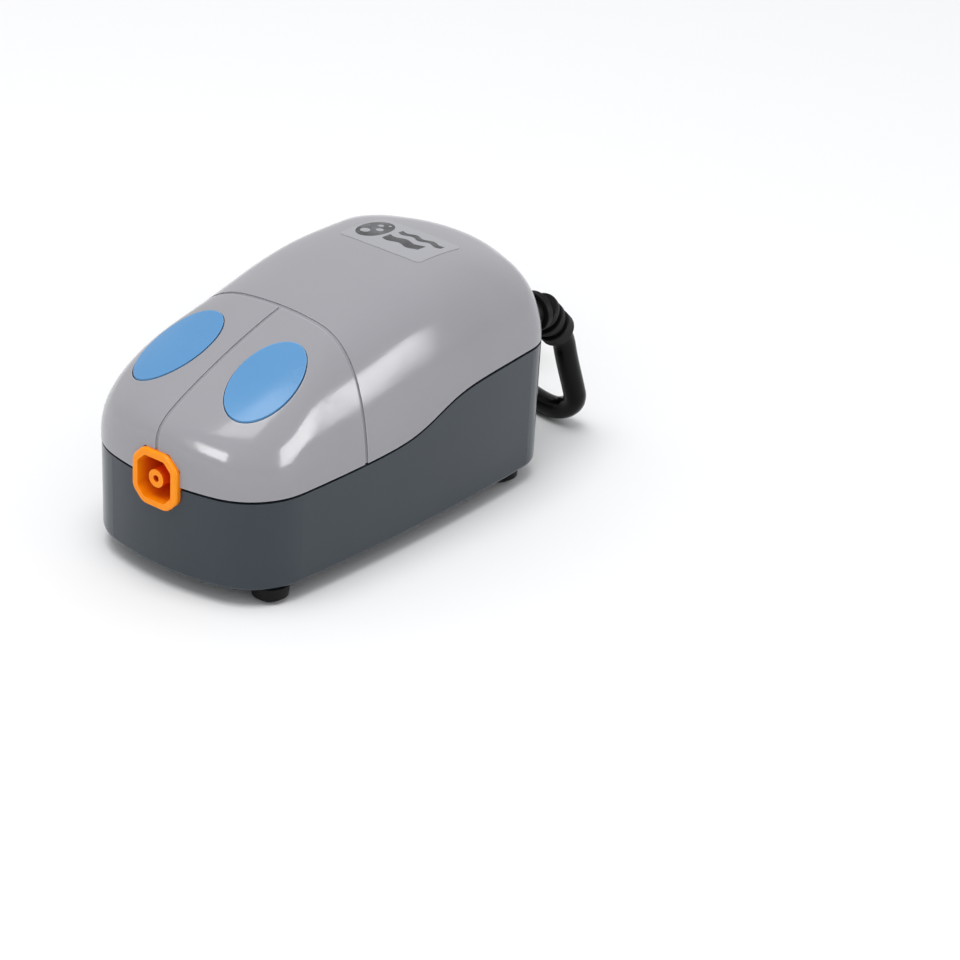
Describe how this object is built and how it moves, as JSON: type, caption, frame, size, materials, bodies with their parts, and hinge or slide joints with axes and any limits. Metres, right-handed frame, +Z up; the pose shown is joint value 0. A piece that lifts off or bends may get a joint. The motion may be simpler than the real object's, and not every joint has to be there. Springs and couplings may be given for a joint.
{
  "type": "aquarium air pump",
  "caption": "Mains-powered vibrating-diaphragm air pump with a two-tone rounded case, an eight-sided hose outlet, rubber feet and a corded two-pin plug.",
  "frame": {"origin": "centre of the case's footprint on the surface that the feet stand on", "axes": "+Z up, -Y towards the outlet nozzle, +Y towards the cord, +X to the right as seen from behind"},
  "size_m": [0.1138, 0.1723, 0.0588],
  "materials": {
    "dark_shell": "gloss",
    "light_shell": "gloss",
    "blue_inlay": "gloss",
    "clear_label": "satin film",
    "orange_plastic": "gloss",
    "soft_rubber": "matte",
    "black_rubber": "matte",
    "screw_steel": "satin",
    "felt": "fibrous",
    "sheet_steel": "satin",
    "magnet": "matte",
    "lamination": "varnished",
    "bobbin_plastic": "matte",
    "copper": "enamelled wire",
    "chamber_plastic": "matte",
    "lead_sleeve": "matte",
    "cord_sheath": "satin",
    "plug_plastic": "matte",
    "pin_metal": "nickel plated"
  },
  "bodies": {
    "root": {"base_housing": "dark_shell", "top_cover": "light_shell", "oval_inlay_left": "blue_inlay", "oval_inlay_right": "blue_inlay", "top_label": "clear_label", "outlet_nozzle": "orange_plastic", "outlet_hose": "soft_rubber", "rubber_feet": "black_rubber", "case_screws": "screw_steel", "filter_cover": "dark_shell", "filter_felt": "felt", "pivot_bracket": "sheet_steel", "pivot_bushings": "black_rubber", "pivot_pin": "screw_steel", "laminated_core": "lamination", "coil_bobbin": "bobbin_plastic", "coil_winding": "copper", "core_cradle": "bobbin_plastic", "bracket_screws": "screw_steel", "chamber_lid": "chamber_plastic", "chamber_gasket": "black_rubber", "pump_chamber": "chamber_plastic", "diaphragm": "black_rubber", "diaphragm_clamp": "chamber_plastic", "chamber_screws": "screw_steel", "strain_relief": "black_rubber", "lead_wires": "lead_sleeve", "power_cord": "cord_sheath", "power_cord_tail": "cord_sheath", "power_cord_coil": "cord_sheath", "plug_body": "plug_plastic", "plug_pins": "pin_metal", "plug_pin_sleeves": "plug_plastic"},
    "armature": {"vibrating_arm": "sheet_steel", "arm_magnets": "magnet", "diaphragm_disc": "chamber_plastic", "diaphragm_screw": "screw_steel"},
    "inlet_valve": {"inlet_flap": "black_rubber"},
    "outlet_valve": {"outlet_flap": "black_rubber"}
  },
  "joints": [
    {"name": "arm_swing", "type": "hinge", "parent": "root", "child": "armature", "pos_m": [0, -0.034, 0.0295], "axis": [1, 0, 0], "range_deg": [-2, 2], "stiffness_Nm_per_rad": 1.9, "deforming": ["diaphragm"]},
    {"name": "inlet_flap_hinge", "type": "hinge", "parent": "root", "child": "inlet_valve", "pos_m": [-0.0088, -0.012, 0.0104], "axis": [0, -1, 0], "range_deg": [0, 12], "stiffness_Nm_per_rad": 0.0001},
    {"name": "outlet_flap_hinge", "type": "hinge", "parent": "root", "child": "outlet_valve", "pos_m": [0.0088, -0.012, 0.0154], "axis": [0, -1, 0], "range_deg": [0, 12], "stiffness_Nm_per_rad": 0.0001}
  ]
}
